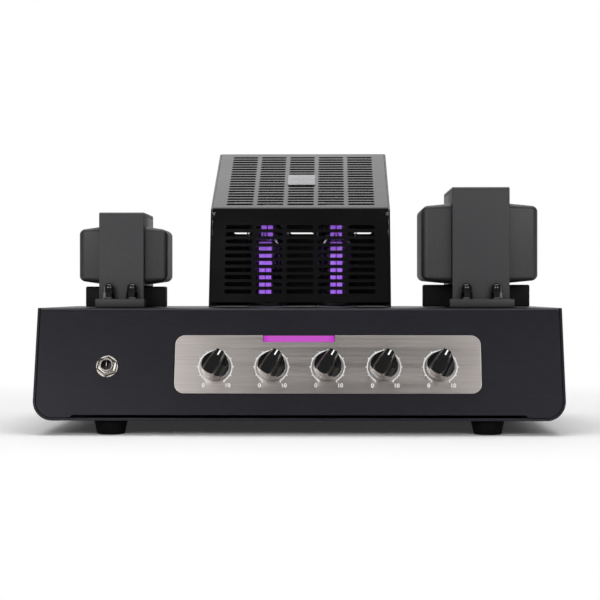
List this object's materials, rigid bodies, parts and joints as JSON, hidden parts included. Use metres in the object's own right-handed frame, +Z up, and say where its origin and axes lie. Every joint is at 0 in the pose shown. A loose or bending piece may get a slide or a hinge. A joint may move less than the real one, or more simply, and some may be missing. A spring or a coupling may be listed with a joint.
{
  "type": "valve amplifier head",
  "caption": "Compact valve amplifier head with a tilted control panel, perforated valve cage, two exposed transformers, rotary knobs, a status light and rear sockets.",
  "frame": {"origin": "centre of the bounding box at the floor, under the feet", "axes": "+X to the right seen from the front, +Y to the back, +Z up"},
  "size_m": [0.372, 0.2354, 0.2102],
  "materials": {
    "chassis_paint": "satin powder coat, fine grain",
    "rubber": "matt",
    "plate": "brushed along X",
    "lens": "lit from behind",
    "nickel": "nickel plated",
    "knob": "gloss",
    "board": "matt",
    "core_steel": "varnished laminations",
    "coil_wrap": "matt",
    "black_paint": "satin",
    "cage_paint": "satin powder coat",
    "glass": "clear",
    "electrodes": "grey coated metal",
    "socket": "ceramic",
    "black_plastic": "fine texture"
  },
  "bodies": {
    "amplifier_body": {"bottom_tray": "chassis_paint", "chassis_shell": "chassis_paint", "rear_panel": "chassis_paint", "foot_front_left": "rubber", "foot_front_right": "rubber", "foot_rear_left": "rubber", "foot_rear_right": "rubber", "control_plate": "plate", "status_lens": "lens", "input_jack": "nickel", "pot_1": "nickel", "pot_2": "nickel", "pot_3": "nickel", "pot_4": "nickel", "pot_5": "nickel", "control_board": "board", "main_board": "board", "output_core": "core_steel", "mains_core": "core_steel", "output_coil": "coil_wrap", "mains_coil": "coil_wrap", "output_strap": "black_paint", "output_bell_left": "black_paint", "output_bell_right": "black_paint", "output_shroud": "black_paint", "mains_strap": "black_paint", "mains_bell_left": "black_paint", "mains_bell_right": "black_paint", "mains_shroud": "black_paint", "cage_front": "cage_paint", "cage_top": "cage_paint", "cage_body": "cage_paint", "preamp_valve_1_glass": "glass", "preamp_valve_2_glass": "glass", "power_valve_1_glass": "glass", "power_valve_2_glass": "glass", "preamp_valve_1_electrodes": "electrodes", "preamp_valve_2_electrodes": "electrodes", "power_valve_1_electrodes": "electrodes", "power_valve_2_electrodes": "electrodes", "preamp_valve_1_socket": "socket", "preamp_valve_2_socket": "socket", "power_valve_1_socket": "socket", "power_valve_2_socket": "socket", "mains_inlet": "black_plastic", "power_switch": "black_plastic", "speaker_jack_1": "black_plastic", "speaker_jack_2": "black_plastic", "line_output": "black_plastic"},
    "knob_body_1": {"knob_1": "knob", "shaft_1": "nickel"},
    "knob_body_2": {"knob_2": "knob", "shaft_2": "nickel"},
    "knob_body_3": {"knob_3": "knob", "shaft_3": "nickel"},
    "knob_body_4": {"knob_4": "knob", "shaft_4": "nickel"},
    "knob_body_5": {"knob_5": "knob", "shaft_5": "nickel"},
    "rocker_body": {"power_rocker": "black_plastic"}
  },
  "joints": [
    {"name": "knob_1_turn", "type": "hinge", "parent": "amplifier_body", "child": "knob_body_1", "pos_m": [-0.0585, -0.09842, 0.0467], "axis": [0, 0.9511, -0.309], "range_deg": [-180, 120]},
    {"name": "knob_2_turn", "type": "hinge", "parent": "amplifier_body", "child": "knob_body_2", "pos_m": [-0.0191, -0.09842, 0.0467], "axis": [0, 0.9511, -0.309], "range_deg": [-180, 120]},
    {"name": "knob_3_turn", "type": "hinge", "parent": "amplifier_body", "child": "knob_body_3", "pos_m": [0.0203, -0.09842, 0.0467], "axis": [0, 0.9511, -0.309], "range_deg": [-180, 120]},
    {"name": "knob_4_turn", "type": "hinge", "parent": "amplifier_body", "child": "knob_body_4", "pos_m": [0.0597, -0.09842, 0.0467], "axis": [0, 0.9511, -0.309], "range_deg": [-180, 120]},
    {"name": "knob_5_turn", "type": "hinge", "parent": "amplifier_body", "child": "knob_body_5", "pos_m": [0.0991, -0.09842, 0.0467], "axis": [0, 0.9511, -0.309], "range_deg": [-180, 120]},
    {"name": "power_rocker_tilt", "type": "hinge", "parent": "amplifier_body", "child": "rocker_body", "pos_m": [0.096, 0.11159, 0.0463], "axis": [1, 0, 0], "range_deg": [-24, 0]}
  ]
}
